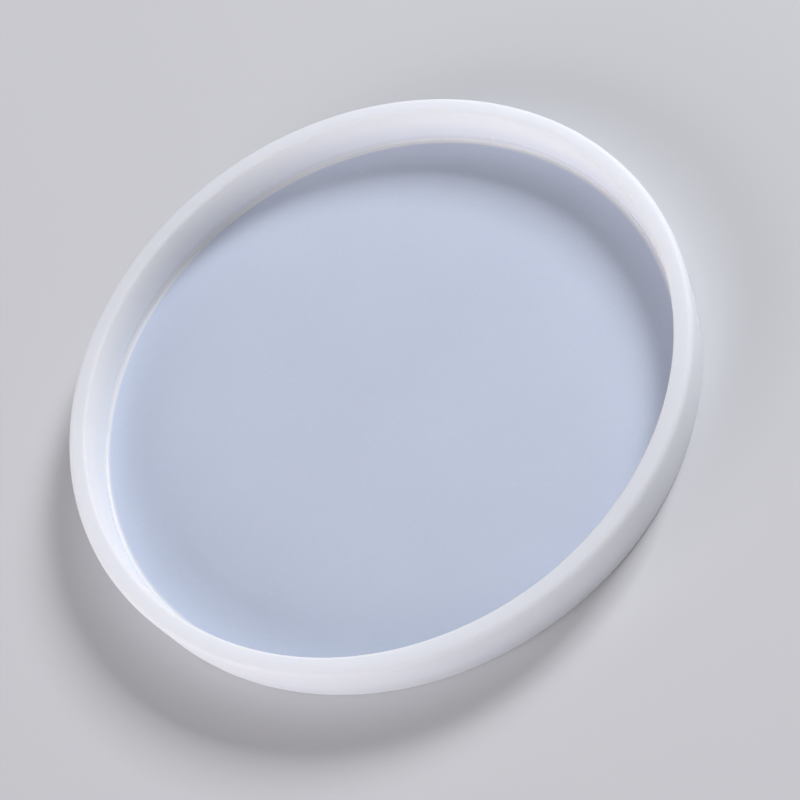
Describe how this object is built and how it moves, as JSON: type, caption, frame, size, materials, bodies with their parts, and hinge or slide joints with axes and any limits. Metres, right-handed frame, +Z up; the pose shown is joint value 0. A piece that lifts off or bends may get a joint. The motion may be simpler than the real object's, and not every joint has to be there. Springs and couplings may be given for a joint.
{
  "type": "resin casting mould",
  "caption": "Shallow round tray mould of translucent white silicone with a flat floor, a low leaning wall and a flat rim, for casting resin discs and trays.",
  "frame": {"origin": "centre of the underside, on the surface that the mould lies on", "axes": "+Z up along the mould's axis of symmetry, out of the cavity's mouth; +X and +Y in the plane of the underside"},
  "size_m": [0.2128, 0.2128, 0.0185],
  "materials": {
    "silicone": "translucent white, satin wall and rim, glossy cavity floor"
  },
  "bodies": {
    "root": {"mould_tray": "silicone"}
  },
  "joints": []
}
